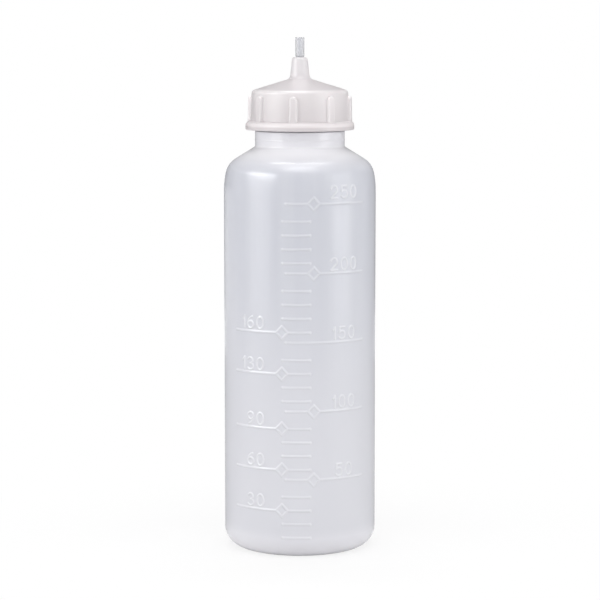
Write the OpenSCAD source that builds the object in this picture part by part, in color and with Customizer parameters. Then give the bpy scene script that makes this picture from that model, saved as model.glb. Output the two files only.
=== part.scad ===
// Measuring bottle with a ribbed screw cap, a conical spout and a short delivery tube.
// Millimetres. The origin is the middle of the foot, +Z is up, and -Y is the side with the scale.

/* [Body] */
// Outer diameter of the body
body_d = 53.5; // [44:0.5:70]
// Wall of the body and the shoulder
wall = 1; // [0.8:0.1:2]
// Height at which the shoulder meets the neck
shoulder_h = 142.25; // [136:0.05:180]
// Slope of the shoulder's cone, in degrees from level
shoulder_slope = 31.5; // [22:0.1:42]
// Radius of the bend from the cone into the shoulder's steep part
shoulder_round = 7.4; // [4:0.1:9]
// Lean of the steep part, in degrees from upright
ease_lean = 11.5; // [8:0.5:18]
// Radius of the long bend from the steep part into the upright wall
ease_round = 31; // [20:0.5:40]
// Straight stretch between those two bends
ease_flat = 0.1; // [0.05:0.05:3]

/* [Foot] */
// Radius of the body's lower edge
foot_round = 7; // [4:0.05:8]
// Width of the flat ring that the bottle stands on
foot_ring_w = 1.85; // [1:0.05:4]
// Height of the hollow under the base
hollow_h = 2.4; // [1.8:0.1:5]
// Slope of the hollow's side, in degrees from level
hollow_slope = 50; // [35:1:65]
// Radius of the two bends in the hollow's side, at the middle of the wall
hollow_round = 1.6; // [1.3:0.05:2]

/* [Neck] */
// Diameter of the collar that shows under the cap
collar_d = 31.55; // [30:0.05:40]
// Height of that collar
collar_h = 5.55; // [2:0.05:10]
// How far the threaded part of the neck is set in from the collar
finish_step = 1.45; // [0.8:0.05:2.5]
// Wall of the threaded part of the neck
finish_wall = 1.5; // [1:0.05:2.5]
// Radius of the bend between the collar and the shoulder
neck_round = 0.9; // [0.2:0.1:1.5]
// Radius of the lip's two edges
lip_round = 0.35; // [0.1:0.05:0.45]

/* [Sealing ring] */
// Thickness of the sealing ring
seal_t = 1.2; // [0.6:0.1:2]
// How far the ring reaches in over the mouth
seal_inset = 0.3; // [0:0.05:1]
// Gap between the ring's outer edge and the cap
seal_gap = 0.3; // [0.2:0.05:0.6]

/* [Cap] */
// Room for the two threads, between the neck and the cap
thread_room = 1.4; // [1:0.05:2]
// Depth of the cap, from its lower edge to the seat of the sealing ring
cap_depth = 12.45; // [10.5:0.05:18]
// Gap between the cap's lower edge and the collar
collar_gap = 0.35; // [0.2:0.05:1]
// Wall of the skirt at its upper end
skirt_wall = 1.2; // [0.9:0.05:2]
// How much the skirt's wall grows down to the flange
skirt_draft = 0.45; // [0:0.05:0.55]
// Height of the rim's corner above the seat of the sealing ring
rim_rise = 1.28; // [1:0.02:2]
// Radius of the rim's corner
rim_round = 1.4; // [0.3:0.05:1.5]
// Slope of the roof, in degrees from level
roof_slope = 17.2; // [8:0.2:26]
// Thickness of the roof
roof_t = 1.3; // [0.9:0.05:1.6]
// How far the seat reaches in past the sealing ring
seat_inset = 0.2; // [0.1:0.05:1]
// Bevel at the lower end of the cap's bore
bore_bevel = 0.5; // [0.2:0.1:0.8]

/* [Flange] */
// How far the flange stands out of the skirt's upper end
flange_proud = 2.2; // [2.1:0.05:4]
// Height of the flange
flange_h = 3.1; // [2.5:0.1:5]
// Radius of the flange's upper edge
flange_round = 1.6; // [0.4:0.05:1.7]
// Radius of the flange's lower edge
flange_foot_round = 0.5; // [0.2:0.05:0.9]

/* [Ribs] */
// Number of grip ribs round the skirt
rib_count = 8; // [4:1:16]
// Direction of the first rib, in degrees from the front, seen from above
rib_turn = -7.5; // [-22.5:0.5:22.5]
// How far a rib stands out of the skirt
rib_proud = 1.25; // [0.8:0.05:1.7]
// Width of a rib at its face
rib_face_w = 2.3; // [1.2:0.1:2.8]
// How much each side of a rib spreads from its face to the skirt
rib_spread = 0.45; // [0.1:0.05:0.8]
// Distance from the rim's corner down to the top of a rib
rib_drop = 1.25; // [1.1:0.05:3]
// Radius of a rib's upper edge
rib_round = 1.5; // [0.5:0.05:1.6]

/* [Spout] */
// Height of the spout's tip above the rim's corner
spout_h = 11.6; // [8:0.1:18]
// Wall of the spout round the tube, at its tip
spout_wall = 1.1; // [0.8:0.05:2]
// How much that wall grows down to the roof
spout_draft = 0.85; // [0.2:0.05:1.5]
// Radius of the bend between the spout and the roof
spout_fillet = 1.8; // [0.5:0.1:3]
// Radius of the spout's upper edge
spout_round = 0.75; // [0.1:0.05:0.9]

/* [Tube] */
// Outer diameter of the delivery tube
tube_d = 3.1; // [2.8:0.1:4]
// Wall of the delivery tube
tube_wall = 0.85; // [0.4:0.05:1.2]
// Length of the tube above the spout
tube_show = 7; // [4:0.1:150]
// Thickness of the step inside the spout that the tube stands on
tube_stop = 0.5; // [0.3:0.05:2]
// How much the spout squeezes the tube, on the diameter
tube_press = 0.34; // [0.1:0.02:0.5]
// Height above the spout over which the squeezed tube widens again
tube_ease = 0.4; // [0.1:0.05:1]

/* [Scale] */
// Height of the mark for 10 ml
first_mark_h = 7.6; // [6:0.1:12]
// Distance from each mark to the next, for 10 ml more
mark_pitch = 4.79; // [3:0.01:5]
// How much higher the marks for 50 ml and its multiples sit
fifties_lift = 1.3; // [0:0.1:2]
// Least height of bare wall above the last mark
bare_h = 2.8; // [2.6:0.1:12]
// Thickness of a moulded line
line_t = 0.6; // [0.4:0.05:1]
// How far the lines stand out of the wall
line_proud = 0.3; // [0.15:0.05:0.6]
// Length of a mark to the left of the front, along the wall
mark_left = 6.75; // [3:0.05:12]
// Length of a mark to the right of the front, along the wall
mark_right = 4.2; // [3:0.05:12]
// How much shorter the marks of the right-hand scale are at the left
fifties_short = 1.1; // [0:0.1:2]
// Distance from the front to the outer end of the left-hand pointer lines, along the wall
pointer_left = 25.7; // [14:0.1:32]
// Distance from the front to the outer end of the right-hand pointer lines, along the wall
pointer_right = 25; // [14:0.1:32]
// Distance from the front to the middle of the left-hand diamonds, along the wall
diamond_left = 6.3; // [3:0.05:12]
// Width of a diamond, between the middles of its lines
diamond_w = 4.1; // [2:0.1:5]
// Height of a diamond, between the middles of its lines
diamond_h = 4.4; // [2:0.1:5]

/* [Hidden] */
$fn = 128;
arc_steps = 8;

body_r = body_d / 2;
collar_r = collar_d / 2;
finish_r = collar_r - finish_step;
mouth_r = finish_r - finish_wall;
bore_r = finish_r + thread_room;
collar_z = shoulder_h + collar_h;
cap_z = collar_z + collar_gap;
seat_z = cap_z + cap_depth;
lip_z = seat_z - seal_t;
seal_in_r = mouth_r - seal_inset;
seal_out_r = bore_r - seal_gap;
rim_r = bore_r + skirt_wall;
rim_z = seat_z + rim_rise;
flange_r = rim_r + flange_proud;
flange_z = cap_z + flange_h;
tube_r = tube_d / 2;
press_r = tube_r - tube_press / 2;
passage_r = tube_r - tube_wall;
spout_tip_r = tube_r + spout_wall;
spout_root_r = spout_tip_r + spout_draft;
spout_z = rim_z + spout_h;

// The front of the bottle, as a direction round the axis
front = -90;

// Points on an arc round the corner b of the path a, b, c
function unit(v) = v / norm(v);
function flat(p) = [p[0], p[1]];
function bend(a, b, c, r) =
    let(u = unit(a - b), v = unit(c - b), half = acos(u * v) / 2,
        middle = b + unit(u + v) * r / sin(half),
        from = b + u * r / tan(half) - middle,
        to = b + v * r / tan(half) - middle,
        start = atan2(from[1], from[0]),
        turn = atan2(from[0] * to[1] - from[1] * to[0], from * to))
    [for (i = [0 : arc_steps]) middle + r * [cos(start + turn * i / arc_steps), sin(start + turn * i / arc_steps)]];

// A path of [x, y, radius] corners, with each corner rounded to its radius
function rounded(path) = [for (i = [0 : len(path) - 1])
    let(before = path[(i + len(path) - 1) % len(path)], here = path[i], after = path[(i + 1) % len(path)])
    each here[2] > 0 ? bend(flat(before), flat(here), flat(after), here[2]) : [flat(here)]];

// The same path, moved to its left by w
function side(a, b) = let(d = unit(flat(b) - flat(a))) [-d[1], d[0]];
function moved(path, w) = [for (i = [0 : len(path) - 1])
    let(n1 = side(path[max(i - 1, 0)], path[max(i, 1)]),
        n2 = side(path[min(i, len(path) - 2)], path[min(i + 1, len(path) - 1)]),
        p = flat(path[i]) + w * (n1 + n2) / (1 + n1 * n2),
        left_turn = n1[0] * n2[1] - n1[1] * n2[0] > 0,
        r = path[i][2])
    [p[0], p[1], r == 0 ? 0 : left_turn ? r - w : r + w]];

// Height of the shoulder's cone at radius r, w inside its outer face
function cone_z(r, w) = shoulder_h + (collar_r - r) * tan(shoulder_slope) - w / cos(shoulder_slope);

// Outer corners of the base, the wall and the shoulder, from the axis outwards and up
hollow_reach = hollow_h / tan(hollow_slope);
foot_in_r = body_r - foot_round - foot_ring_w;
ease_l = ease_round * tan(ease_lean / 2) + ease_flat + shoulder_round * tan((90 - ease_lean - shoulder_slope) / 2);
ease_top_r = body_r - ease_l * sin(ease_lean);
ease_top_z = cone_z(ease_top_r, 0);
body_path = [
    [0, hollow_h, 0],
    [foot_in_r - hollow_reach, hollow_h, hollow_round],
    [foot_in_r, 0, hollow_round],
    [body_r, 0, foot_round],
    [body_r, ease_top_z - ease_l * cos(ease_lean), ease_round],
    [ease_top_r, ease_top_z, shoulder_round],
    [collar_r, shoulder_h, neck_round],
];

module bottle_shell() {
    inner = moved(body_path, wall);
    rotate_extrude()
        polygon(rounded(concat(
            body_path,
            [[collar_r, collar_z, 0], [finish_r, collar_z, 0],
             [finish_r, lip_z, lip_round], [mouth_r, lip_z, lip_round],
             [mouth_r, cone_z(mouth_r, wall), 0]],
            [for (i = [len(inner) - 2 : -1 : 0]) inner[i]])));
}

// The scale counts in steps of 10 ml, as far up as the upright wall allows
fifty = 5;
wall_top_z = ease_top_z - ease_l * cos(ease_lean) - ease_round * tan(ease_lean / 2);
last_mark = 1 + floor((wall_top_z - bare_h - fifties_lift - first_mark_h) / mark_pitch);
left_marks = [3, 6, 9, 13, 16];
right_marks = [5, 10, 15, 20, 25];
bare_mark = 15;

function round_wall(length) = length / body_r * 180 / PI;
function has(list, n) = len(search(n, list)) > 0;
function mark_z(n) = first_mark_h + (n - 1) * mark_pitch + (n % fifty == 0 ? fifties_lift : 0);
function has_left_diamond(n) = has(left_marks, n);
function has_right_diamond(n) = has(right_marks, n) && n != bare_mark;
left_diamond = -diamond_left;
right_diamond = mark_right + line_t;

// A ring-shaped bar in the wall and out of it, from one place along the wall to another, each counted
// from the front
module bar(from, to, z) {
    rotate([0, 0, front + round_wall(from)])
        rotate_extrude(angle = round_wall(to - from))
            translate([body_r - wall / 2, z - line_t / 2])
                square([wall + line_proud, line_t]);
}

module diamond_face(w, h) {
    polygon([[-w, 0], [0, -h], [w, 0], [0, h]]);
}

// A diamond-shaped frame in the wall and out of it
module diamond(at, z) {
    lean = diamond_h / diamond_w;
    across = line_t / 2 * sqrt(1 + 1 / (lean * lean));
    w = diamond_w / 2;
    rotate([0, 0, front + round_wall(at)])
        translate([body_r - wall / 2, 0, z])
            rotate([90, 0, 90])
                linear_extrude(2 * wall + line_proud)
                    difference() {
                        diamond_face(w + across, (w + across) * lean);
                        diamond_face(w - across, (w - across) * lean);
                    }
}

// One mark, with its pointer line and its diamond if it has them
module mark(n) {
    z = mark_z(n);
    left_end = has(right_marks, n) ? fifties_short - mark_left : -mark_left;
    inner_left = has_left_diamond(n) ? left_diamond + diamond_w / 2 : left_end;
    inner_right = has_right_diamond(n) ? right_diamond - diamond_w / 2 : mark_right;
    bar(inner_left, n == bare_mark ? pointer_right : inner_right, z);
    if (has_left_diamond(n)) {
        diamond(left_diamond, z);
        bar(-pointer_left, left_diamond - diamond_w / 2, z);
    }
    if (has_right_diamond(n)) {
        diamond(right_diamond, z);
        bar(right_diamond + diamond_w / 2, pointer_right, z);
    }
}

// All the marks, cut to one height above the wall
module marks() {
    intersection() {
        cylinder(r = body_r + line_proud, h = wall_top_z);
        union()
            for (n = [1 : last_mark]) mark(n);
    }
}

module bottle() {
    color([0.86, 0.87, 0.90])
        union() {
            bottle_shell();
            marks();
        }
}

module sealing_ring() {
    color([0.93, 0.93, 0.92])
        rotate_extrude()
            polygon([[seal_in_r, lip_z], [seal_out_r, lip_z], [seal_out_r, seat_z], [seal_in_r, seat_z]]);
}

// Height of the roof's outer face at radius r
function roof_z(r) = rim_z + (rim_r - r) * tan(roof_slope);
roof_drop = roof_t / cos(roof_slope);
dome_r = seal_in_r - seat_inset;
boss_z = roof_z(spout_root_r) - roof_drop;
tube_foot_z = boss_z + tube_stop;

// The cap without its ribs, from the foot of its bore round the outside and back
module cap_shell() {
    rotate_extrude()
        polygon(rounded([
            [bore_r + bore_bevel, cap_z, 0],
            [flange_r, cap_z, flange_foot_round],
            [flange_r, flange_z, flange_round],
            [rim_r + skirt_draft, flange_z, 0],
            [rim_r, rim_z, rim_round],
            [spout_root_r, roof_z(spout_root_r), spout_fillet],
            [spout_tip_r, spout_z, spout_round],
            [press_r, spout_z, 0],
            [press_r, tube_foot_z, 0],
            [passage_r, tube_foot_z, 0],
            [passage_r, boss_z, 0],
            [spout_root_r, boss_z, 0],
            [dome_r, roof_z(dome_r) - roof_drop, 0],
            [dome_r, seat_z, 0],
            [bore_r, seat_z, 0],
            [bore_r, cap_z + bore_bevel, 0],
        ]));
}

// The ribs' ring: their faces, with draft, and their rounded upper edge
module rib_ring() {
    face_r = rim_r + rib_proud;
    in_r = rim_r - skirt_wall / 2;
    low_z = flange_z - flange_h / 2;
    top_z = rim_z - rib_drop;
    rotate_extrude()
        polygon(rounded([
            [in_r, low_z, 0],
            [face_r + skirt_draft / 2, low_z, 0],
            [face_r, top_z, rib_round],
            [in_r, top_z, 0],
        ]));
}

// A bar that points out of the axis, with drafted sides and a round arch on top
module arched_bar() {
    in_r = rim_r - skirt_wall;
    out_r = rim_r + 2 * rib_proud;
    in_w = rib_face_w / 2 + rib_spread * (1 + skirt_wall / rib_proud);
    out_w = rib_face_w / 2 - rib_spread;
    arch_z = rim_z - rib_drop - rib_face_w / 2 - rib_spread;
    translate([0, 0, cap_z])
        linear_extrude(arch_z - cap_z)
            polygon([[in_r, -in_w], [out_r, -out_w], [out_r, out_w], [in_r, in_w]]);
    translate([in_r, 0, arch_z])
        rotate([0, 90, 0])
            cylinder(r1 = in_w, r2 = out_w, h = out_r - in_r);
}

module screw_cap() {
    color([0.91, 0.89, 0.90])
        union() {
            cap_shell();
            intersection() {
                rib_ring();
                union()
                    for (i = [0 : rib_count - 1])
                        rotate([0, 0, front + rib_turn + i * 360 / rib_count])
                            arched_bar();
            }
        }
}

// The tube as it sits, a little narrower where the spout squeezes it
module delivery_tube() {
    color([0.88, 0.89, 0.91])
        rotate_extrude()
            polygon([[passage_r, tube_foot_z], [press_r, tube_foot_z], [press_r, spout_z],
                     [tube_r, spout_z + tube_ease], [tube_r, spout_z + tube_show],
                     [passage_r, spout_z + tube_show]]);
}

bottle();
sealing_ring();
screw_cap();
delivery_tube();
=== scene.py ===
"""A translucent measuring bottle with a ribbed screw cap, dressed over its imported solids.

Shapes are in millimetres. Places of lamps, cards and the camera are in metres.
"""
import math

import bpy
import numpy as np
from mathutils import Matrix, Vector


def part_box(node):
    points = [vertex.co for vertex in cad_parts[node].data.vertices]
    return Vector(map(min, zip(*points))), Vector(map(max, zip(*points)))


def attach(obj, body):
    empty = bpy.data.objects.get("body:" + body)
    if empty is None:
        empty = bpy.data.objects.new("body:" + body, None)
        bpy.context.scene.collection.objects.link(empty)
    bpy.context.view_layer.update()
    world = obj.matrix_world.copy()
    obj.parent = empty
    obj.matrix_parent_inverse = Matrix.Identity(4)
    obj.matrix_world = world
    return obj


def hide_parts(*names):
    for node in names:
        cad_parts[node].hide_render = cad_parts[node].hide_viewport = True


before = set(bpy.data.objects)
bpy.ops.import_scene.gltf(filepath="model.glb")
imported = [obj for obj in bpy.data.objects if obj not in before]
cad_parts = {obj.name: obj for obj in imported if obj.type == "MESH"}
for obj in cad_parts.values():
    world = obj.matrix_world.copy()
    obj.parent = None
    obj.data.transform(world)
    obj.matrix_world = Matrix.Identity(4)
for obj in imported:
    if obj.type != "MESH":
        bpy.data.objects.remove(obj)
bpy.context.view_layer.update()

MM = 0.001
FRONT = -math.pi / 2

# Sizes below which nothing counts, at which two rings are one, and by which a slope is measured
TINY = 1e-6
SAME_RING = 1e-4
NUDGE = 1e-3


def node_corners(node):
    """Lowest and highest corner of a CAD node, in millimetres."""
    low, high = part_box(node)
    return low / MM, high / MM


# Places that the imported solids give
BOTTLE_TOP = node_corners("bottle")[1]
CAP_LOW, CAP_HIGH = node_corners("screw_cap")
TUBE_LOW, TUBE_HIGH = node_corners("delivery_tube")
SEAL_LOW, SEAL_HIGH = node_corners("sealing_ring")
BODY_R = BOTTLE_TOP.x
LIP_Z = BOTTLE_TOP.z

# Body
WALL = 1
SHOULDER_Z = 142.25
SHOULDER_SLOPE = math.radians(31.5)
SHOULDER_ROUND = 7.4
EASE_LEAN = math.radians(11.5)
EASE_ROUND = 31
EASE_FLAT = 0.1
FOOT_ROUND = 7
FOOT_RING_W = 1.85
HOLLOW_H = 2.4
HOLLOW_SLOPE = math.radians(50)
HOLLOW_ROUND = 1.6

# Neck
COLLAR_R = 15.775
COLLAR_H = 5.55
FINISH_R = 14.325
MOUTH_R = 12.825
NECK_ROUND = 0.9
NECK_LINE_Z = 144.7
NECK_LINE_HALF = 0.35
NECK_LINE_PROUD = 0.07
NECK_LINE_ROUND = 0.15
NECK_LINE_FOOT_ROUND = 0.2
LIP_ROUND = 0.35

# Rounding of edges without a value of their own
EDGE_ROUND = 0.3
BEVEL_ROUND = 0.15
CREASE_ROUND = 0.1
STOP_ROUND = 0.05

# Thread, which the neck and the cap share
LEAD = 4
NECK_THREAD_Z = 150.2
NECK_THREAD_TURNS = 1.75
NECK_THREAD_H = 1.2
CAP_THREAD_START = 0.4
CAP_THREAD_TURNS = 1.75
CAP_THREAD_H = 1.1
THREAD_HALF = 0.95
THREAD_FLANK = 0.6
THREAD_FADE = 0.06
THREAD_MARGIN = 0.02
THREAD_FRONT = math.radians(25)
NO_THREAD = 9.0  # the distance given beyond the thread's ends

# Cap
BORE_R = 15.725
SKIRT_WALL = 1.2
SKIRT_DRAFT = 0.45
RIM_RISE = 1.28
RIM_ROUND = 1.4
ROOF_SLOPE = math.radians(17.2)
ROOF_T = 1.3
SEAT_INSET = 0.2
BORE_BEVEL = 0.5
FLANGE_H = 3.1
FLANGE_ROUND = 1.6
FLANGE_FOOT_ROUND = 0.5
RIB_COUNT = 8
RIB_TURN = math.radians(-7.5)
RIB_PROUD = 1.25
RIB_FACE_W = 2.3
RIB_SPREAD = 0.45
RIB_FLANK = 1.4
RIB_DROP = 1.25
RIB_ROUND = 1.5
# Painted highlight along the ribs' edges: its half width, its inset from the edge, and the height
# over which it fades in above the flange
RIB_EDGE_HALF = 0.3
RIB_EDGE_INSET = 0.05
RIB_EDGE_FADE = 1.5

# Spout
SPOUT_WALL = 1.1
SPOUT_DRAFT = 0.85
SPOUT_FILLET = 1.8
SPOUT_ROUND = 0.75

# Sealing ring
SEAL_IN_R = MOUTH_R - 0.3
SEAL_ROUND = 0.25

# Tube
TUBE_R = TUBE_HIGH.x
TUBE_WALL = 0.85
TUBE_PRESS = 0.17
TUBE_EASE = 0.4
TUBE_EASE_ROUND = 0.3
TUBE_SLACK = 0.02
TUBE_ROUND = 0.2

# Scale
FIRST_MARK_Z = 7.6
MARK_PITCH = 4.79
FIFTIES_LIFT = 1.3
MARKS = 25
LINE_PROUD = 0.28
LINE_HALF = 0.62
# Shares of a painted highlight on the scale's lines, and below on its dots and digits
LINE_HIGHLIGHT = 0.31
DOT_HALF = 0.75
DOT_HIGHLIGHT = 0.5
MARK_LEFT = 6.75
MARK_RIGHT = 4.2
FIFTIES_SHORT = 1.1
POINTER_LEFT = 25.7
POINTER_RIGHT = 25
DIAMOND_LEFT = 6.3
DIAMOND_RIGHT = 4.8
DIAMOND_W = 4.1
DIAMOND_H = 4.4
LEFT_MARKS = (3, 6, 9, 13, 16)
RIGHT_MARKS = (5, 10, 15, 20, 25)
BARE_MARK = 15
DIGIT_W = 2.5
DIGIT_H = 4.1
DIGIT_GAP = 1.55
DIGIT_HALF = 0.52
# Share of a painted highlight on the digits
DIGIT_HIGHLIGHT = 0.55
NUMBER_RISE = 1.0
TOP_NUMBER_LIFT = 0.9
LEFT_NUMBERS_END = -13.2
RIGHT_NUMBERS_MIDDLE = 16.2
MARK_SHADING = 0.6  # share of the marks' slope that the shading shows
NEAR_STROKE = 1.5  # how far from a stroke distances are measured for the cells
AT_STROKE = 0.01  # and for the surface itself


def smooth(x):
    """An even step from 0 to 1 as x goes from 0 to 1."""
    x = np.clip(x, 0, 1)
    return x * x * (3 - 2 * x)


def split(cells):
    """The same cells, each cut into four."""
    return np.repeat(np.repeat(cells, 2, axis=0), 2, axis=1)


class Profile:
    """The outline of a turned piece, from corners (radius, height, rounding).

    It is walked with the outside to the right.
    """

    FINE = 48  # steps in which a bend is measured
    WIDEST = 12  # degrees of bend from one ring to the next

    def __init__(self, corners, closed=False):
        self.closed = closed
        self.corners = [np.array(c, float) for c in corners]
        rows = []
        self.spans = []
        for k in range(len(self.corners)):
            bend = self._bend(k)
            self.spans.append((len(rows), len(rows) + len(bend) - 1))
            rows.extend(bend)
        if closed:
            rows.append(rows[0])
        self.rows = np.array(rows)
        steps = np.hypot(*np.diff(self.rows[:, :2], axis=0).T)
        self.length = np.concatenate(([0], np.cumsum(steps)))
        self.total = self.length[-1]

    def _way(self, a, b):
        """The direction from one corner to another."""
        count = len(self.corners)
        way = self.corners[b % count][:2] - self.corners[a % count][:2]
        return way / np.hypot(*way)

    def _bend(self, k):
        """Points (radius, height, outward direction) of corner k."""
        here, rounding = self.corners[k][:2], self.corners[k][2]
        ends = not self.closed and k in (0, len(self.corners) - 1)
        if ends:
            way = self._way(k, k + 1) if k == 0 else self._way(k - 1, k)
            return [(*here, way[1], -way[0])]
        before, after = self._way(k - 1, k), self._way(k, k + 1)
        turn = math.atan2(before[0] * after[1] - before[1] * after[0], before @ after)
        if rounding == 0 or abs(turn) < TINY:
            middle = before + after
            middle /= np.hypot(*middle)
            return [(*here, middle[1], -middle[0])]
        start = here - before * rounding * math.tan(abs(turn) / 2)
        right = np.array((before[1], -before[0])) * (1 if turn > 0 else -1)
        centre = start - right * rounding
        rows = []
        for share in np.linspace(0, 1, self.FINE + 1):
            c, s = math.cos(turn * share), math.sin(turn * share)
            out = np.array((right[0] * c - right[1] * s, right[0] * s + right[1] * c))
            point = centre + out * rounding
            out = out if turn > 0 else -out
            rows.append((*point, *out))
        return rows

    def at(self, length):
        """Radius, height and outward direction at places along the outline."""
        found = np.array([np.interp(length, self.length, column) for column in self.rows.T])
        found[2:] /= np.hypot(found[2], found[3])
        return found

    def corner_at(self, k, share=0.0):
        """The length at which corner k's bend has gone that share of its way."""
        first, last = self.spans[k]
        return self.length[first] + share * (self.length[last] - self.length[first])

    def stops(self):
        """Lengths at which a ring is needed, so that no two are more than WIDEST degrees apart."""
        found = []
        for first, last in self.spans:
            a, b = self.rows[first], self.rows[last]
            bend = math.atan2(a[2] * b[3] - a[3] * b[2], a[2] * b[2] + a[3] * b[3])
            turn = abs(math.degrees(bend))
            steps = 0 if first == last else max(2, math.ceil(turn / self.WIDEST))
            found.extend(np.linspace(self.length[first], self.length[last], steps + 1))
        return found


class Relief:
    """A stretch of an outline whose surface has detail: its cells are halved near it.

    away gives the distance to the detail, and height or place gives the surface. value is kept on
    the points for the material. shading is the share of the detail's slope that the shading shows.
    """

    CLOSE = 0.6  # cells nearer to the detail than this share of their diagonal are halved

    def __init__(self, start, end, cell, levels, away, height=None, place=None, value=None,
                 shading=1.0):
        self.start, self.end, self.cell, self.levels = start, end, cell, levels
        self.away, self.height, self.place, self.value = away, height, place, value
        self.shading = shading
        self.reach = end - start
        self.rows = max(3, round(self.reach / cell))
        self.scale = 2 ** levels

    def halved(self, columns):
        """Which cells are halved again at each level, with neighbours one level apart at most."""
        cell_w = 2 * math.pi / columns
        there = np.ones((columns, self.rows), bool)
        marks = []
        for level in range(self.levels):
            n = 2 ** level
            i, j = np.nonzero(there)
            angle = (i + 0.5) * cell_w / n
            length = self.start + (j + 0.5) * self.reach / (self.rows * n)
            diagonal = math.hypot(self.cell, self.cell) / n
            close = self.away(angle, length) < self.CLOSE * diagonal
            margin = 2 * n - 1
            close &= (j >= margin) & (j < self.rows * n - margin)
            mark = np.zeros_like(there)
            mark[i[close], j[close]] = True
            marks.append(mark)
            there = split(mark)
        for level in range(self.levels - 1, 0, -1):
            mark = marks[level]
            wider = mark | np.roll(mark, 1, 0) | np.roll(mark, -1, 0)
            grown = wider.copy()
            grown[:, 1:] |= wider[:, :-1]
            grown[:, :-1] |= wider[:, 1:]
            fours = grown.reshape(grown.shape[0] // 2, 2, grown.shape[1] // 2, 2)
            marks[level - 1] |= fours.any(axis=(1, 3))
        return [*marks, np.zeros_like(there)]

    def cells(self, columns):
        """Whole cells as quads, and those beside halved ones as fans round their middle.

        Corners are counted in the finest cells.
        """
        quads, fans = [], []
        there = np.ones((columns, self.rows), bool)
        for level, mark in enumerate(self.halved(columns)):
            i, j = np.nonzero(there & ~mark)
            step = self.scale >> level
            top = mark.shape[1] - 1
            below = (j > 0) & mark[i, j - 1]
            above = (j < top) & mark[i, np.minimum(j + 1, top)]
            left = mark[i - 1, j]
            right = mark[(i + 1) % mark.shape[0], j]
            plain = ~(below | above | left | right)
            a, b = i[plain] * step, j[plain] * step
            quads.append(np.stack((a, b, a + step, b, a + step, b + step, a, b + step), axis=1))
            for k in np.flatnonzero(~plain):
                x, y, half = i[k] * step, j[k] * step, step // 2
                edge = [(x, y)]
                edge += [(x + half, y)] if below[k] else []
                edge += [(x + step, y)]
                edge += [(x + step, y + half)] if right[k] else []
                edge += [(x + step, y + step)]
                edge += [(x + half, y + step)] if above[k] else []
                edge += [(x, y + step)]
                edge += [(x, y + half)] if left[k] else []
                fans.append(((x + half, y + half), edge))
            if level < self.levels:
                there = split(mark)
        return np.concatenate(quads), fans


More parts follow.
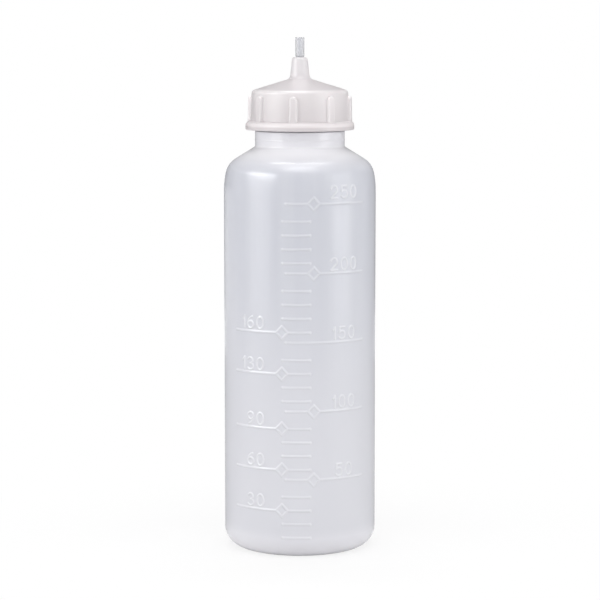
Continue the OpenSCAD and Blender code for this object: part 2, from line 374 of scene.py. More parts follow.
class Skin:
    """The points, outward directions and faces of a turned piece, laid ring by ring."""

    def __init__(self, profile, columns):
        self.profile, self.columns = profile, columns
        self.points, self.outwards, self.values, self.faces = [], [], [], []
        self.count = 0

    def add(self, points, outwards, values=None):
        """Adds points, and gives their numbers."""
        first = self.count
        self.points.append(points)
        self.outwards.append(outwards)
        self.values.append(np.zeros(len(points)) if values is None else values)
        self.count += len(points)
        return np.arange(first, self.count)

    def turned(self, angle, r, z):
        """Places or directions in space, from an angle off the front, a radius and a height."""
        turn = FRONT + angle
        return np.column_stack((r * np.cos(turn), r * np.sin(turn), z + 0 * angle))

    def ring(self, length):
        """A ring at that length, or a single point on the axis."""
        r, z, out_r, out_z = self.profile.at(length)
        if r < TINY:
            return self.add(np.array([[0, 0, z]]), np.array([[0, 0, np.sign(out_z)]]))
        angle = np.arange(self.columns) * 2 * math.pi / self.columns
        return self.add(self.turned(angle, r, z), self.turned(angle, out_r, out_z))

    def band(self, low, high):
        """Joins two rings, the first before the second along the outline."""
        if len(low) == 1:
            self.faces += [(low[0], b, a) for a, b in zip(high, np.roll(high, -1))]
        elif len(high) == 1:
            self.faces += [(a, b, high[0]) for a, b in zip(low, np.roll(low, -1))]
        else:
            self.faces += list(zip(low, np.roll(low, -1), np.roll(high, -1), high))

    def surface(self, relief, angle, length):
        """Points of a relief's surface."""
        if relief.place:
            r, z = relief.place(angle, length)
        else:
            r, z, out_r, out_z = self.profile.at(length)
            h = relief.height(angle, z)
            r, z = r + h * out_r, z + h * out_z
        return self.turned(angle, r, z)

    def facing(self, relief, angle, length):
        """Outward directions of a relief's surface."""
        turn = NUDGE / BODY_R
        left, right = (self.surface(relief, angle + d, length) for d in (-turn, turn))
        low, high = (self.surface(relief, angle, length + d) for d in (-NUDGE, NUDGE))
        out = np.cross(right - left, high - low)
        out /= np.linalg.norm(out, axis=1)[:, None]
        plain = self.turned(angle, *self.profile.at(length)[2:])
        return plain + relief.shading * (out - plain)

    def relief(self, relief, low, high):
        """The points and cells of a relief, between the rings at its start and end."""
        scale = relief.scale
        wide, tall = self.columns * scale, relief.rows * scale
        corners, fans = relief.cells(self.columns)

        used = np.zeros((wide, tall + 1), bool)
        used[corners[:, 0::2] % wide, corners[:, 1::2]] = True
        for middle, edge in fans:
            for x, y in [middle, *edge]:
                used[x % wide, y] = True
        used[:, 0] = used[:, tall] = False
        i, j = np.nonzero(used)
        angle = i * 2 * math.pi / wide
        length = relief.start + j * relief.reach / tall
        points, out = self.surface(relief, angle, length), self.facing(relief, angle, length)
        ids = np.full((wide, tall + 1), -1)
        ids[i, j] = self.add(points, out, relief.value(angle, length) if relief.value else None)
        ids[::scale, 0] = low
        ids[::scale, tall] = high

        quads = ids[corners[:, 0::2] % wide, corners[:, 1::2]]
        self.faces += [tuple(q) for q in quads.tolist()]
        for middle, edge in fans:
            centre = ids[middle[0] % wide, middle[1]]
            rim = [ids[x % wide, y] for x, y in edge]
            self.faces += [(centre, a, b) for a, b in zip(rim, rim[1:] + rim[:1])]

    def lay(self, reliefs=()):
        """Lays the whole skin along its outline."""
        profile = self.profile
        stops = [s for s in profile.stops() if not any(r.start < s < r.end for r in reliefs)]
        stops += [s for r in reliefs for s in (r.start, r.end)]
        stops = sorted(set(np.round(stops, 6)))
        stops = [s for s, after in zip(stops, stops[1:] + [math.inf]) if after - s > SAME_RING]
        starts = {round(r.start, 6): r for r in reliefs}
        last = profile.total - SAME_RING
        rings = [self.ring(s) for s in stops if not (profile.closed and s > last)]
        if profile.closed:
            rings.append(rings[0])
            stops = stops if stops[-1] > last else [*stops, profile.total]
        for low, high, stop in zip(rings, rings[1:], stops):
            relief = starts.get(stop)
            if relief:
                self.relief(relief, low, high)
            else:
                self.band(low, high)
        return self

    def piece(self, name, values_as=None):
        """The skin as an object, in metres."""
        mesh = bpy.data.meshes.new(name)
        points = np.concatenate(self.points) * MM
        mesh.from_pydata(points.tolist(), [], [tuple(int(v) for v in f) for f in self.faces])
        mesh.validate()
        mesh.shade_smooth()
        mesh.normals_split_custom_set_from_vertices(np.concatenate(self.outwards).tolist())
        if values_as:
            values = mesh.attributes.new(values_as, "FLOAT", "POINT")
            values.data.foreach_set("value", np.concatenate(self.values).astype(np.float32))
        mesh.update()
        piece = bpy.data.objects.new(name, mesh)
        bpy.context.scene.collection.objects.link(piece)
        return piece


# The scale, as strokes: from, to, and half width and tone, in places along the wall and heights.
# The tone is how far the wall's colour goes over to the marks' painted highlight.
LINE = (LINE_HALF, LINE_HIGHLIGHT)
DOT = (DOT_HALF, DOT_HIGHLIGHT)
DIGIT = (DIGIT_HALF, DIGIT_HIGHLIGHT)


def arc(x, y, rx, ry, start, end, steps=14):
    angles = np.radians(np.linspace(start, end, steps + 1))
    return [(x + rx * math.cos(a), y + ry * math.sin(a)) for a in angles]


# Digits in a box of 1 by 1
SIX = [arc(0.5, 0.3, 0.5, 0.3, 0, 360, 20), arc(1.05, 0.3, 1.05, 0.7, 180, 104, 8)]
DIGITS = {
    "0": [arc(0.5, 0.5, 0.5, 0.5, 0, 360, 24)],
    "1": [[(0.0, 0.76), (0.3, 1.0), (0.3, 0.0)]],
    "2": [arc(0.5, 0.7, 0.48, 0.3, 165, -35) + [(0.0, 0.0), (1.0, 0.0)]],
    "3": [arc(0.45, 0.75, 0.42, 0.25, 150, -90, 10)
          + arc(0.45, 0.25, 0.53, 0.27, 90, -145, 12)[1:]],
    "5": [[(0.92, 1.0), (0.14, 1.0), (0.08, 0.55)] + arc(0.47, 0.33, 0.52, 0.33, 130, -145)],
    "6": SIX,
    "9": [[(1 - x, 1 - y) for x, y in line] for line in SIX],
}
DIGIT_SHARES = {"1": 0.3}


def mark_z(n):
    return FIRST_MARK_Z + (n - 1) * MARK_PITCH + (FIFTIES_LIFT if n % 5 == 0 else 0)


def number_width(text):
    return sum(DIGIT_W * DIGIT_SHARES.get(c, 1) for c in text) + DIGIT_GAP * (len(text) - 1)


def number_strokes(text, left, low):
    strokes = []
    for c in text:
        for line in DIGITS[c]:
            points = [(left + DIGIT_W * x, low + DIGIT_H * y) for x, y in line]
            strokes += [(a, b, DIGIT) for a, b in zip(points, points[1:])]
        left += DIGIT_W * DIGIT_SHARES.get(c, 1) + DIGIT_GAP
    return strokes


def diamond_strokes(middle, z):
    x, y = DIAMOND_W / 2, DIAMOND_H / 2
    points = [(middle - x, z), (middle, z - y), (middle + x, z), (middle, z + y)]
    return [(a, b, LINE) for a, b in zip(points, points[1:] + points[:1])]


def mark_strokes(n):
    """One mark, with its dots, diamond, pointer line and number."""
    z = mark_z(n)
    text = str(10 * n)
    left = DOT_HALF - MARK_LEFT + (FIFTIES_SHORT if n in RIGHT_MARKS else 0)
    right = MARK_RIGHT - DOT_HALF
    strokes = []
    if n in LEFT_MARKS:
        outer = -DIAMOND_LEFT - DIAMOND_W / 2
        left = -DIAMOND_LEFT + DIAMOND_W / 2
        strokes += diamond_strokes(-DIAMOND_LEFT, z)
        strokes.append(((-POINTER_LEFT, z), (outer, z), LINE))
        strokes += number_strokes(text, LEFT_NUMBERS_END - number_width(text), z + NUMBER_RISE)
    else:
        strokes.append(((left, z), (left, z), DOT))
    if n in RIGHT_MARKS:
        rise = NUMBER_RISE + (TOP_NUMBER_LIFT if n == MARKS else 0)
        strokes += number_strokes(text, RIGHT_NUMBERS_MIDDLE - number_width(text) / 2, z + rise)
    if n == BARE_MARK:
        right = POINTER_RIGHT
    elif n in RIGHT_MARKS:
        right = DIAMOND_RIGHT - DIAMOND_W / 2
        strokes += diamond_strokes(DIAMOND_RIGHT, z)
        strokes.append(((DIAMOND_RIGHT + DIAMOND_W / 2, z), (POINTER_RIGHT, z), LINE))
    if n not in RIGHT_MARKS or n == BARE_MARK:
        strokes.append(((right, z), (right, z), DOT))
    strokes.append(((left, z), (right, z), LINE))
    return strokes


SCALE = [stroke for n in range(1, MARKS + 1) for stroke in mark_strokes(n)]


def scale_distance(angle, z, reach):
    """How near places are to a stroke of the scale, as far as the reach.

    It gives their distance as a share of its half width, and in millimetres past its edge, and
    the share of its painted highlight there.
    """
    along = BODY_R * ((angle + math.pi) % (2 * math.pi) - math.pi)
    places = np.column_stack((along, z))
    share = np.full(len(places), np.inf)
    past = np.full(len(places), reach)
    tone = np.zeros(len(places))
    for a, b, (half, peak) in SCALE:
        a, b = np.array(a), np.array(b)
        wide = half + reach
        within = (places > np.minimum(a, b) - wide) & (places < np.maximum(a, b) + wide)
        near = np.flatnonzero(within.all(axis=1))
        if not len(near):
            continue
        p, way = places[near] - a, b - a
        t = np.clip(p @ way / max(way @ way, TINY), 0, 1)
        d = np.hypot(*(p - t[:, None] * way).T)
        share[near] = np.minimum(share[near], d / half)
        past[near] = np.minimum(past[near], d - half)
        tone[near] = np.maximum(tone[near], peak * np.clip(1 - (d / half) ** 2, 0, 1))
    return share, past, tone


def scale_height(angle, z):
    share = scale_distance(angle, z, AT_STROKE)[0]
    return LINE_PROUD * np.clip(1 - share ** 2, 0, 1) ** 2


def thread_place(angle, z, start_z, start_angle):
    """How many turns along the thread a place is, and its height above the thread's middle."""
    turned = (angle - start_angle) / (2 * math.pi)
    turn = turned + np.round((z - start_z) / LEAD - turned)
    return turn, z - start_z - LEAD * turn


def thread_height(angle, z, start_z, start_angle, turns, height):
    turn, dz = thread_place(angle, z, start_z, start_angle)
    ends = smooth(turn / THREAD_FADE) * smooth((turns - turn) / THREAD_FADE)
    return height * ends * smooth((1 - np.abs(dz) / THREAD_HALF) / THREAD_FLANK)


def thread_away(angle, z, start_z, start_angle, turns):
    turn, dz = thread_place(angle, z, start_z, start_angle)
    there = (turn > -THREAD_MARGIN) & (turn < turns + THREAD_MARGIN)
    return np.where(there, np.abs(dz) - THREAD_HALF, NO_THREAD)


def offset(path, wall):
    """The same path of corners, moved in by the wall."""
    found = []
    for k, (x, y, rounding) in enumerate(path):
        ways = []
        for a, b in ((k - 1, k), (k, k + 1)):
            if a >= 0 and b < len(path):
                way = np.array(path[b][:2]) - np.array(path[a][:2])
                ways.append(way / np.hypot(*way))
        before, after = ways[0], ways[-1]
        n1, n2 = np.array((-before[1], before[0])), np.array((-after[1], after[0]))
        p = np.array((x, y)) + wall * (n1 + n2) / (1 + n1 @ n2)
        left_turn = before[0] * after[1] - before[1] * after[0] > 0
        if rounding:
            rounding += -wall if left_turn else wall
        found.append((*p, rounding))
    return found


def cone_z(r, inside=0.0):
    """Height of the shoulder's cone at a radius."""
    outside = SHOULDER_Z + (COLLAR_R - r) * math.tan(SHOULDER_SLOPE)
    return outside - inside / math.cos(SHOULDER_SLOPE)


def bottle_corners():
    """Corners from the hollow base up the outside to the lip, and down the inside."""
    reach = HOLLOW_H / math.tan(HOLLOW_SLOPE)
    foot_in_r = BODY_R - FOOT_ROUND - FOOT_RING_W
    ease = (EASE_ROUND * math.tan(EASE_LEAN / 2) + EASE_FLAT
            + SHOULDER_ROUND * math.tan((math.pi / 2 - EASE_LEAN - SHOULDER_SLOPE) / 2))
    ease_r = BODY_R - ease * math.sin(EASE_LEAN)
    ease_z = cone_z(ease_r)
    outer = [
        (0, HOLLOW_H, 0),
        (foot_in_r - reach, HOLLOW_H, HOLLOW_ROUND),
        (foot_in_r, 0, HOLLOW_ROUND),
        (BODY_R, 0, FOOT_ROUND),
        (BODY_R, ease_z - ease * math.cos(EASE_LEAN), EASE_ROUND),
        (ease_r, ease_z, SHOULDER_ROUND),
        (COLLAR_R, SHOULDER_Z, NECK_ROUND),
    ]
    collar_z = SHOULDER_Z + COLLAR_H
    neck = [
        (COLLAR_R, NECK_LINE_Z - NECK_LINE_HALF, NECK_LINE_FOOT_ROUND),
        (COLLAR_R + NECK_LINE_PROUD, NECK_LINE_Z, NECK_LINE_ROUND),
        (COLLAR_R, NECK_LINE_Z + NECK_LINE_HALF, NECK_LINE_FOOT_ROUND),
        (COLLAR_R, collar_z, EDGE_ROUND),
        (FINISH_R, collar_z, EDGE_ROUND),
        (FINISH_R, LIP_Z, LIP_ROUND),
        (MOUTH_R, LIP_Z, LIP_ROUND),
        (MOUTH_R, cone_z(MOUTH_R, WALL), NECK_ROUND),
    ]
    inner = offset(outer, WALL)
    return outer + neck + inner[-2::-1]


def make_bottle():
    profile = Profile(bottle_corners())
    foot, ease, collar_top, lip = 3, 4, 11, 12

    # The scale's part of the wall, from half of the foot's bend to most of the easing bend
    wall = Relief(
        profile.corner_at(foot, 0.5), profile.corner_at(ease, 0.8), cell=1.4, levels=3,
        away=lambda angle, length: scale_distance(angle, profile.at(length)[1], NEAR_STROKE)[1],
        height=scale_height, shading=MARK_SHADING,
        # The value is the share of the marks' painted highlight
        value=lambda angle, length: scale_distance(angle, profile.at(length)[1], AT_STROKE)[2])

    thread = (NECK_THREAD_Z, THREAD_FRONT, NECK_THREAD_TURNS)
    finish = Relief(
        profile.corner_at(collar_top, 1), profile.corner_at(lip), cell=0.76, levels=2,
        away=lambda angle, length: thread_away(angle, profile.at(length)[1], *thread),
        height=lambda angle, z: thread_height(angle, z, *thread, NECK_THREAD_H))
    return Skin(profile, columns=120).lay([wall, finish]).piece("bottle_shell", "mark_highlight")


def roof_z(r):
    """Height of the roof's outer face at a radius."""
    rim_r = BORE_R + SKIRT_WALL
    return SEAL_HIGH.z + RIM_RISE + (rim_r - r) * math.tan(ROOF_SLOPE)


def make_cap():
    flange_r, cap_z, spout_z = CAP_HIGH.x, CAP_LOW.z, CAP_HIGH.z
    seat_z = SEAL_HIGH.z
    rim_r, rim_z, flange_z = BORE_R + SKIRT_WALL, seat_z + RIM_RISE, cap_z + FLANGE_H
    foot_r = rim_r + SKIRT_DRAFT
    tip_r = TUBE_R + SPOUT_WALL
    root_r = tip_r + SPOUT_DRAFT
    press_r, passage_r = TUBE_R - TUBE_PRESS, TUBE_R - TUBE_WALL
    drop = ROOF_T / math.cos(ROOF_SLOPE)
    boss_z = roof_z(root_r) - drop
    dome_r = SEAL_IN_R - SEAT_INSET
    profile = Profile([
        (BORE_R + BORE_BEVEL, cap_z, BEVEL_ROUND),
        (flange_r, cap_z, FLANGE_FOOT_ROUND),
        (flange_r, flange_z, FLANGE_ROUND),
        (foot_r, flange_z, EDGE_ROUND),
        (rim_r, rim_z, RIM_ROUND),
        (root_r, roof_z(root_r), SPOUT_FILLET),
        (tip_r, spout_z, SPOUT_ROUND),
        (press_r, spout_z, CREASE_ROUND),
        (press_r, TUBE_LOW.z, STOP_ROUND),
        (passage_r, TUBE_LOW.z, STOP_ROUND),
        (passage_r, boss_z, CREASE_ROUND),
        (root_r, boss_z, EDGE_ROUND),
        (dome_r, roof_z(dome_r) - drop, EDGE_ROUND),
        (dome_r, seat_z, CREASE_ROUND),
        (BORE_R, seat_z, BEVEL_ROUND),
        (BORE_R, cap_z + BORE_BEVEL, BEVEL_ROUND),
    ], closed=True)
    flange_foot, flange_top, skirt, rim, seat, bevel = 1, 2, 3, 4, 14, 15

    # Each rib stands on the flange's rounded edge and rounds over into the skirt below the rim
    face_r, top_z = rim_r + RIB_PROUD, rim_z - RIB_DROP
    low_r = face_r + SKIRT_DRAFT / 2
    edge_in = low_r - flange_r + FLANGE_ROUND
    low_z = flange_z - FLANGE_ROUND + math.sqrt(FLANGE_ROUND ** 2 - edge_in ** 2)
    skirt_r = np.interp(top_z, (flange_z, rim_z), (foot_r, rim_r))
    rib = Profile([
        (low_r, low_z, 0),
        (face_r, top_z, RIB_ROUND),
        (rim_r - SKIRT_WALL / 2, top_z, 0),
    ])
    rib_end = np.interp(-skirt_r, -rib.rows[:, 0], rib.length)
    edge = np.linspace(profile.corner_at(flange_top), profile.corner_at(flange_top, 1), 400)
    rib_low = np.interp(-low_r, -profile.at(edge)[0], edge)
    skirt_low = profile.corner_at(skirt, 1)
    rib_high = skirt_low + rib.at(rib_end)[1] - profile.at(skirt_low)[1]
    arch_z = top_z - RIB_FACE_W / 2 - RIB_SPREAD

    def rib_distance(angle, z):
        """Distance from the nearest rib's middle line, and round the middle of its arched head."""
        pitch = 2 * math.pi / RIB_COUNT
        side = ((angle - RIB_TURN + pitch / 2) % pitch - pitch / 2) * (rim_r + SKIRT_DRAFT / 2)
        return np.hypot(side, np.maximum(z - arch_z, 0))

    def on_rib(length):
        """The rib's face beside a place on the outline, and whether a rib reaches there."""
        share = np.clip((length - rib_low) / (rib_high - rib_low), 0, 1)
        r, z = rib.at(share * rib_end)[:2]
        return r, z, (length > rib_low) & (length < rib_high)

    def skirt_place(angle, length):
        r, z = profile.at(length)[:2]
        rib_r, rib_z, there = on_rib(length)
        far = rib_distance(angle, rib_z)
        flank = smooth((RIB_FACE_W / 2 + RIB_SPREAD - far) / (RIB_FLANK * RIB_SPREAD))
        w = np.where(there, flank, 0)
        return r + w * (rib_r - r), z + w * (rib_z - z)

    def rib_edge_highlight(angle, length):
        """How much painted highlight a place takes along a rib's edge, from 0 to 1."""
        rib_z, there = on_rib(length)[1:]
        past = rib_distance(angle, rib_z) - RIB_FACE_W / 2 + RIB_EDGE_INSET
        edge = np.exp(-(past / RIB_EDGE_HALF) ** 2)
        return np.where(there, edge * smooth((rib_z - flange_z) / RIB_EDGE_FADE), 0)

    def rib_away(angle, length):
        """Distance from the nearest rib, or from the outline's bends above and below the skirt."""
        far = rib_distance(angle, on_rib(length)[1]) - RIB_FACE_W / 2 - RIB_SPREAD
        along = np.maximum(rib_low - length, length - rib_high)
        rib_gap = np.hypot(np.maximum(far, 0), np.maximum(along, 0))
        bends = [np.maximum(profile.corner_at(k) - length, length - profile.corner_at(k, 1))
                 for k in (flange_top, skirt)]
        return np.minimum(rib_gap, np.maximum(np.minimum(*bends), 0))

    skirt_start = (profile.corner_at(flange_foot, 1) + profile.corner_at(flange_top)) / 2
    skirt_relief = Relief(
        skirt_start, profile.corner_at(rim), cell=0.56, levels=2,
        away=rib_away, place=skirt_place, value=rib_edge_highlight)
    thread_z = NECK_THREAD_Z - LEAD / 2 + LEAD * CAP_THREAD_START
    thread = (thread_z, THREAD_FRONT + 2 * math.pi * CAP_THREAD_START, CAP_THREAD_TURNS)
    bore_relief = Relief(
        profile.corner_at(seat, 1), profile.corner_at(bevel), cell=0.52, levels=1,
        away=lambda angle, length: thread_away(angle, profile.at(length)[1], *thread),
        height=lambda angle, z: thread_height(angle, z, *thread, CAP_THREAD_H))
    # The edge value is the share of the ribs' painted highlight
    return Skin(profile, columns=192).lay([skirt_relief, bore_relief]).piece("cap", "edge")


def make_seal():
    low, high, outer = SEAL_LOW.z, SEAL_HIGH.z, SEAL_HIGH.x
    corners = ((SEAL_IN_R, low), (outer, low), (outer, high), (SEAL_IN_R, high))
    profile = Profile([(*corner, SEAL_ROUND) for corner in corners], closed=True)
    return Skin(profile, columns=96).lay().piece("seal")


def make_tube():
    inner, press = TUBE_R - TUBE_WALL, TUBE_R - TUBE_PRESS - TUBE_SLACK
    low, high, spout_z = TUBE_LOW.z, TUBE_HIGH.z, CAP_HIGH.z
    profile = Profile([
        (inner, low, STOP_ROUND),
        (press, low, STOP_ROUND),
        (press, spout_z, TUBE_EASE_ROUND),
        (TUBE_R, spout_z + TUBE_EASE, TUBE_EASE_ROUND),
        (TUBE_R, high, TUBE_ROUND),
        (inner, high, TUBE_ROUND),
    ], closed=True)
    return Skin(profile, columns=64).lay().piece("tube")


# Materials, with colours as linear red, green and blue

# Layers of painted light and shade, each with the heights from which and at which it takes over,
# and its colour
SHELL_LIGHT_AND_SHADE = {
    # Painted shade: the wall darker towards the top, where the bottle's darker inside shows
    # through, and lighter towards the bottom
    "lower wall": (122, 30, (0.775, 0.777, 0.825)),
    # Painted light: the foot lighter, in place of the light that the floor throws back onto it
    "foot": (11, 2, (0.895, 0.885, 0.93)),
    # Painted light: the shoulder lighter where it faces up into the light
    "shoulder": (133, 139, (0.777, 0.778, 0.825)),
    # Painted highlight: the cone near white, for the bright light on its upper face
    "cone": (136.8, 140.8, (0.965, 0.96, 1.0)),
    # Painted light: the neck lighter, against the shade that the cap casts on it
    "neck": (142.2, 143.2, (0.885, 0.88, 0.925)),
}
CAP_LIGHT_AND_SHADE = {
    # Painted highlight: the flange's upper half lighter
    "flange": (151.6, 150.4, (0.785, 0.745, 0.755)),
    # Painted shade: the flange's lower half darker
    "foot of the flange": (149.9, 149.1, (0.65, 0.613, 0.624)),
    # Painted highlight: the skirt lighter towards the rim
    "upper skirt": (153, 162, (0.765, 0.73, 0.74)),
    # Painted shade: the roof darker, for the dark hollow below it
    "roof": (161.9, 162.6, (0.675, 0.636, 0.65)),
    # The spout lighter again, where the roof's painted shade ends
    "spout": (165.2, 168, (0.735, 0.71, 0.725)),
}
# Painted highlight on the scale's marks, where light would catch them
MARK_HIGHLIGHT_COLOUR = (0.89, 0.893, 0.93)
# Painted highlight along the ribs' edges
RIB_EDGE_HIGHLIGHT_COLOUR = (0.79, 0.755, 0.765)
# Painted shade inside the tube's bore
TUBE_BORE_SHADE = (0.68, 0.69, 0.74)
TUBE_BORE_SHARES = (0.3, 0.9)  # of the way through the wall, where the bore's painted shade takes over
NOISE_SPAN = (0.35, 0.65)
NOISE_DETAIL = 3


def give(node, values):
    """Sets inputs of a node."""
    for name, value in values.items():
        node.inputs[name].default_value = value


def new_material(name, values):
    """A material, its nodes and links, and its shader with these inputs."""
    material = bpy.data.materials.new(name)
    material.use_nodes = True
    nodes = material.node_tree.nodes
    shader = nodes["Principled BSDF"]
    give(shader, values)
    return material, nodes, material.node_tree.links, shader


def object_place(nodes):
    """The object's own coordinates, in metres."""
    return nodes.new("ShaderNodeTexCoord").outputs["Object"]


def noise(nodes, links, stretch, scale):
    """A noise over the object's own coordinates, in metres, stretched along its axes."""
    mapping = nodes.new("ShaderNodeMapping")
    give(mapping, {"Scale": stretch})
    texture = nodes.new("ShaderNodeTexNoise")
    give(texture, {"Scale": scale, "Detail": NOISE_DETAIL})
    links.new(object_place(nodes), mapping.inputs["Vector"])
    links.new(mapping.outputs["Vector"], texture.inputs["Vector"])
    return texture.outputs["Fac"]


def between_colours(nodes, links, factor, a, b):
    """A colour between two, as a noise has it."""
    ramp = nodes.new("ShaderNodeValToRGB")
    for element, position, colour in zip(ramp.color_ramp.elements, NOISE_SPAN, (a, b)):
        element.position = position
        element.color = (*colour, 1)
    links.new(factor, ramp.inputs["Fac"])
    return ramp.outputs["Color"]


def mapped(nodes, links, value, values, kind="LINEAR"):
    """A node that maps a value from one range to another, which are 0 to 1 where not given."""
    node = nodes.new("ShaderNodeMapRange")
    node.interpolation_type = kind
    give(node, values)
    links.new(value, node.inputs["Value"])
    return node


def even_step(nodes, links, value, start, end):
    """0 at one size and 1 at another, in millimetres, and an even step between."""
    values = {"From Min": start * MM, "From Max": end * MM}
    return mapped(nodes, links, value, values, "SMOOTHSTEP").outputs["Result"]


def vector_size(nodes, links, vector):
    size = nodes.new("ShaderNodeVectorMath")
    size.operation = "LENGTH"
    links.new(vector, size.inputs[0])
    return size.outputs["Value"]


def combined(nodes, links, operation, a, b):
    """Two values made one."""
    both = nodes.new("ShaderNodeMath")
    both.operation = operation
    links.new(a, both.inputs[0])
    links.new(b, both.inputs[1])
    return both.outputs[0]


def by_height(nodes, links, start, end):
    parts = nodes.new("ShaderNodeSeparateXYZ")
    links.new(object_place(nodes), parts.inputs["Vector"])
    return even_step(nodes, links, parts.outputs["Z"], start, end)


def by_radius(nodes, links, start, end):
    flat = nodes.new("ShaderNodeVectorMath")
    flat.operation = "MULTIPLY"
    flat.inputs[1].default_value = (1, 1, 0)
    links.new(object_place(nodes), flat.inputs[0])
    radius = vector_size(nodes, links, flat.outputs["Vector"])
    return even_step(nodes, links, radius, start, end)


def mixed(nodes, links, factor, a, b):
    """Mixes two colours, each an output or plain numbers."""
    mix = nodes.new("ShaderNodeMix")
    mix.data_type = "RGBA"
    links.new(factor, mix.inputs["Factor"])
    for value, socket in ((a, mix.inputs["A"]), (b, mix.inputs["B"])):
        if isinstance(value, tuple):
            socket.default_value = (*value, 1)
        else:
            links.new(value, socket)
    return mix.outputs["Result"]


def layered(nodes, links, colour, layers):
    for start, end, layer in layers.values():
        colour = mixed(nodes, links, by_height(nodes, links, start, end), colour, layer)
    return colour


def where_kept(nodes, links, colour, attribute, other):
    """Another colour where a value kept on the points is 1."""
    kept = nodes.new("ShaderNodeAttribute")
    kept.attribute_name = attribute
    return mixed(nodes, links, kept.outputs["Fac"], colour, other)


def bottle_material():
    material, nodes, links, shader = new_material("frosted_shell", {
        "Roughness": 0.24,
        "IOR": 1.5,
        "Subsurface Weight": 0.2,
        "Subsurface Radius": (1, 1, 1),
        "Subsurface Scale": 0.001,
        "Transmission Weight": 0.1,
    })
    streaks = noise(nodes, links, stretch=(1, 1, 0.04), scale=160)
    colour = between_colours(nodes, links, streaks, (0.652, 0.664, 0.727), (0.681, 0.693, 0.75))
    # Painted light and shade, laid by height over the wall's colour
    colour = layered(nodes, links, colour, SHELL_LIGHT_AND_SHADE)
    # Painted highlight on the scale's marks
    colour = where_kept(nodes, links, colour, "mark_highlight", MARK_HIGHLIGHT_COLOUR)
    links.new(colour, shader.inputs["Base Color"])
    bump = nodes.new("ShaderNodeBump")
    give(bump, {"Strength": 0.04, "Distance": 0.0002})
    grain = noise(nodes, links, stretch=(1, 1, 1), scale=1800)
    links.new(grain, bump.inputs["Height"])
    links.new(bump.outputs["Normal"], shader.inputs["Normal"])
    return material


def cap_material():
    material, nodes, links, shader = new_material("moulded_cap", {
        "Roughness": 0.31,
        "IOR": 1.46,
        "Subsurface Weight": 0.3,
        "Subsurface Radius": (1, 0.9, 0.9),
        "Subsurface Scale": 0.002,
    })
    clouds = noise(nodes, links, stretch=(1, 1, 1), scale=60)
    colour = between_colours(nodes, links, clouds, (0.675, 0.637, 0.649), (0.70, 0.662, 0.674))
    # Painted light and shade, laid by height over the cap's colour
    colour = layered(nodes, links, colour, CAP_LIGHT_AND_SHADE)
    # Painted highlight along the ribs' edges
    colour = where_kept(nodes, links, colour, "edge", RIB_EDGE_HIGHLIGHT_COLOUR)
    links.new(colour, shader.inputs["Base Color"])
    return material


def tube_material():
    material, nodes, links, shader = new_material("clear_tube", {
        "Roughness": 0.04,
        "IOR": 1.45,
        "Transmission Weight": 0.5,
    })
    haze = noise(nodes, links, stretch=(1, 1, 0.2), scale=400)
    wall = between_colours(nodes, links, haze, (0.85, 0.855, 0.885), (0.87, 0.875, 0.90))
    # Painted shade towards the bore, darker inside the tube
    start, end = (TUBE_R - share * TUBE_WALL for share in TUBE_BORE_SHARES)
    colour = mixed(nodes, links, by_radius(nodes, links, start, end), wall, TUBE_BORE_SHADE)
    links.new(colour, shader.inputs["Base Color"])
    return material


def seal_material():
    material, nodes, links, shader = new_material("foam_seal", {"Roughness": 0.8})
    cells = noise(nodes, links, stretch=(1, 1, 1), scale=3000)
    colour = between_colours(nodes, links, cells, (0.78, 0.78, 0.76), (0.86, 0.86, 0.84))
    links.new(colour, shader.inputs["Base Color"])
    return material


# Stage, light and camera, in metres

WORLD_FILL = 0.5
FLOOR_SIZE = 6
FLOOR_COLOUR = (0.8, 0.8, 0.8)
FLOOR_SEEN_COLOUR = (0.93, 0.93, 0.93)
FLOOR_FADE = {"From Min": 0.04, "From Max": 0.14}
FLOOR_GLOW_NEAR = 0.8
FLOOR_GLOW_NEAR_IN_GLOSS = 0.25
SEES_BACKDROP = ("Is Camera Ray", "Is Glossy Ray", "Is Transmission Ray")

MIDDLE = (0, 0, 0.1)
CAP_TOP = (0, 0, 0.17)
SIDES = (("left", -1), ("right", 1))

# Lamps: degrees round from the front and up, distance, width, height, and watts
LAMPS = {
    "left_box": (-62, 4, 0.8, 0.5, 0.8, 3.2),
    "right_box": (64, 4, 0.8, 0.5, 0.8, 3.0),
    "front_box": (0, 60, 0.9, 0.6, 0.4, 2.35),
    "top_box": (180, 76, 0.7, 0.4, 0.12, 1.4),
}
# Lamps that make a highlight without lighting anything, likewise
GLOSS_LAMPS = {
    "left_shine": (-65, 25, 0.75, 0.64, 0.2, 3.1),
    "right_glow": (65, -4, 0.8, 0.35, 0.15, 0.26),
    "top_shine": (180, 72, 0.7, 0.26, 0.22, 0.25),
    "shoulder_shine": (0, 77, 0.8, 0.5, 0.34, 1.2),
}
# Cards on both sides: degrees round and up, distance, width, height, and shades left and right
SIDE_CARDS = {
    "card": (138, -10, 0.55, 0.34, 0.2, (0.95, 0.3)),
    "middle_card": (138, 10, 0.55, 0.34, 0.19, (0.15, 0.15)),
    "high_card": (125, 42, 0.6, 0.55, 0.42, (0.1, 0.1)),
    "rim_card": (135, 0, 0.5, 0.5, 0.5, (0.25, 0.25)),
}
SEEN_THROUGH = "rim_card"
BACK_CARD = (180, 20, 0.6, 0.9, 0.75, 0.15)
# Cards on the floor beside the bottle: place on its right, side, and shade
FLOOR_CARD = ((0.2, 0.24, 0.0005), 0.45, 0.4)

CAMERA_SENSOR = 36
CAMERA_LENS = 142.32
CAMERA_NEAR = 0.01
CAMERA_PLACE = (0.00005, -0.83565, 0.18409)
CAMERA_TILT = 0.1147


def ray_switch(nodes, links, kinds):
    """1 for rays of these kinds, and else 0."""
    path = nodes.new("ShaderNodeLightPath")
    total = path.outputs[kinds[0]]
    for kind in kinds[1:]:
        total = combined(nodes, links, "MAXIMUM", total, path.outputs[kind])
    return total


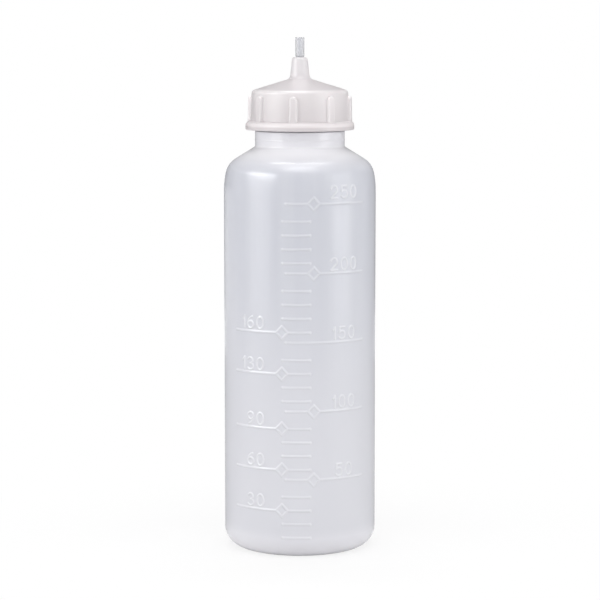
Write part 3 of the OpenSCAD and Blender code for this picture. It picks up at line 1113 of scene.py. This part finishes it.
def make_world():
    """Fills the room with even light, and shows white to the camera, gloss and clear plastic."""
    world = bpy.data.worlds.new("studio")
    bpy.context.scene.world = world
    world.use_nodes = True
    nodes, links = world.node_tree.nodes, world.node_tree.links
    seen = ray_switch(nodes, links, SEES_BACKDROP)
    strength = mapped(nodes, links, seen, {"To Min": WORLD_FILL, "To Max": 1})
    links.new(strength.outputs["Result"], nodes["Background"].inputs["Strength"])
    give(nodes["Background"], {"Color": (1, 1, 1, 1)})


def make_floor():
    """A pale floor that keeps the shadow near the object and turns white further out."""
    bpy.ops.mesh.primitive_plane_add(size=FLOOR_SIZE, location=(0, 0, 0))
    floor = bpy.context.object
    floor.name = "floor"
    values = {"Roughness": 0.9, "Specular IOR Level": 0}
    material, nodes, links, shader = new_material("pale_floor", values)
    seen = ray_switch(nodes, links, ("Is Camera Ray",))
    colour = mixed(nodes, links, seen, FLOOR_COLOUR, FLOOR_SEEN_COLOUR)
    links.new(colour, shader.inputs["Base Color"])
    glow = nodes.new("ShaderNodeEmission")
    give(glow, {"Strength": 1})

    distance = vector_size(nodes, links, object_place(nodes))
    fade = mapped(nodes, links, distance, FLOOR_FADE, "SMOOTHSTEP")
    in_gloss = ray_switch(nodes, links, ("Is Glossy Ray",))
    glows = {"To Min": FLOOR_GLOW_NEAR, "To Max": FLOOR_GLOW_NEAR_IN_GLOSS}
    near = mapped(nodes, links, in_gloss, glows)
    links.new(near.outputs["Result"], fade.inputs["To Min"])
    backdrop = ray_switch(nodes, links, SEES_BACKDROP)
    both = combined(nodes, links, "MULTIPLY", fade.outputs["Result"], backdrop)
    mix = nodes.new("ShaderNodeMixShader")
    links.new(both, mix.inputs["Fac"])
    links.new(shader.outputs["BSDF"], mix.inputs[1])
    links.new(glow.outputs["Emission"], mix.inputs[2])
    links.new(mix.outputs["Shader"], nodes["Material Output"].inputs["Surface"])
    floor.data.materials.append(material)


def around(turn, lift, distance):
    """A place round the bottle: degrees round from the front and up, and distance."""
    turn, lift = math.radians(turn), math.radians(lift)
    x = distance * math.sin(turn) * math.cos(lift)
    y = -distance * math.cos(turn) * math.cos(lift)
    return x, y, MIDDLE[2] + distance * math.sin(lift)


def put(item, place, aim):
    """Puts a lamp or a card at a place, and turns it to another."""
    item.location = place
    item.rotation_euler = (Vector(aim) - Vector(place)).to_track_quat("-Z", "Y").to_euler()
    bpy.context.scene.collection.objects.link(item)


def softbox(name, place, width, height, power, only_gloss):
    """A soft lamp that faces the bottle. It may make a highlight without lighting anything."""
    light = bpy.data.lights.new(name, "AREA")
    light.shape = "RECTANGLE"
    light.size, light.size_y = width, height
    light.energy = power
    lamp = bpy.data.objects.new(name, light)
    lamp.visible_diffuse = not only_gloss
    put(lamp, place, MIDDLE)


def dark_card(name, place, aim, width, height, shade):
    """A dark card that only gloss sees, or only a look through clear plastic.

    It keeps an edge of the object from going white.
    """
    x, y = width / 2, height / 2
    mesh = bpy.data.meshes.new(name)
    mesh.from_pydata([(-x, -y, 0), (x, -y, 0), (x, y, 0), (-x, y, 0)], [], [(0, 1, 2, 3)])
    card = bpy.data.objects.new(name, mesh)
    card.visible_camera = card.visible_diffuse = card.visible_shadow = False
    card.visible_transmission = name.endswith(SEEN_THROUGH)
    card.visible_glossy = not card.visible_transmission
    put(card, place, aim)
    values = {"Base Color": (shade, shade, shade, 1), "Roughness": 1, "Specular IOR Level": 0}
    mesh.materials.append(new_material(name, values)[0])


def make_lights():
    for lamps, only_gloss in ((LAMPS, False), (GLOSS_LAMPS, True)):
        for name, (turn, lift, distance, width, height, power) in lamps.items():
            softbox(name, around(turn, lift, distance), width, height, power, only_gloss)


def make_cards():
    for k, (side, sign) in enumerate(SIDES):
        for name, (turn, lift, distance, width, height, shades) in SIDE_CARDS.items():
            place = around(sign * turn, lift, distance)
            aim = CAP_TOP if name == SEEN_THROUGH else MIDDLE
            dark_card(side + "_" + name, place, aim, width, height, shades[k])
        (x, y, z), width, shade = FLOOR_CARD
        x *= sign
        dark_card(side + "_floor_card", (x, y, z), (x, y, 1), width, width, shade)
    turn, lift, distance, width, height, shade = BACK_CARD
    dark_card("back_card", around(turn, lift, distance), MIDDLE, width, height, shade)


def make_camera():
    data = bpy.data.cameras.new("camera")
    data.sensor_width = CAMERA_SENSOR
    data.lens = CAMERA_LENS
    data.clip_start = CAMERA_NEAR
    camera = bpy.data.objects.new("camera", data)
    camera.location = CAMERA_PLACE
    camera.rotation_euler = (math.pi / 2 - CAMERA_TILT, 0, 0)
    bpy.context.scene.collection.objects.link(camera)
    bpy.context.scene.camera = camera


def dress(piece, material, body, node):
    """Gives a piece its material and body, and hides the CAD node that it stands in for."""
    piece.data.materials.append(material)
    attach(piece, body)
    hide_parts(node)


dress(make_bottle(), bottle_material(), "bottle_body", "bottle")
dress(make_cap(), cap_material(), "cap_body", "screw_cap")
dress(make_tube(), tube_material(), "cap_body", "delivery_tube")
dress(make_seal(), seal_material(), "seal_body", "sealing_ring")

make_world()
make_floor()
make_lights()
make_cards()
make_camera()
bpy.context.scene.view_settings.view_transform = "Standard"
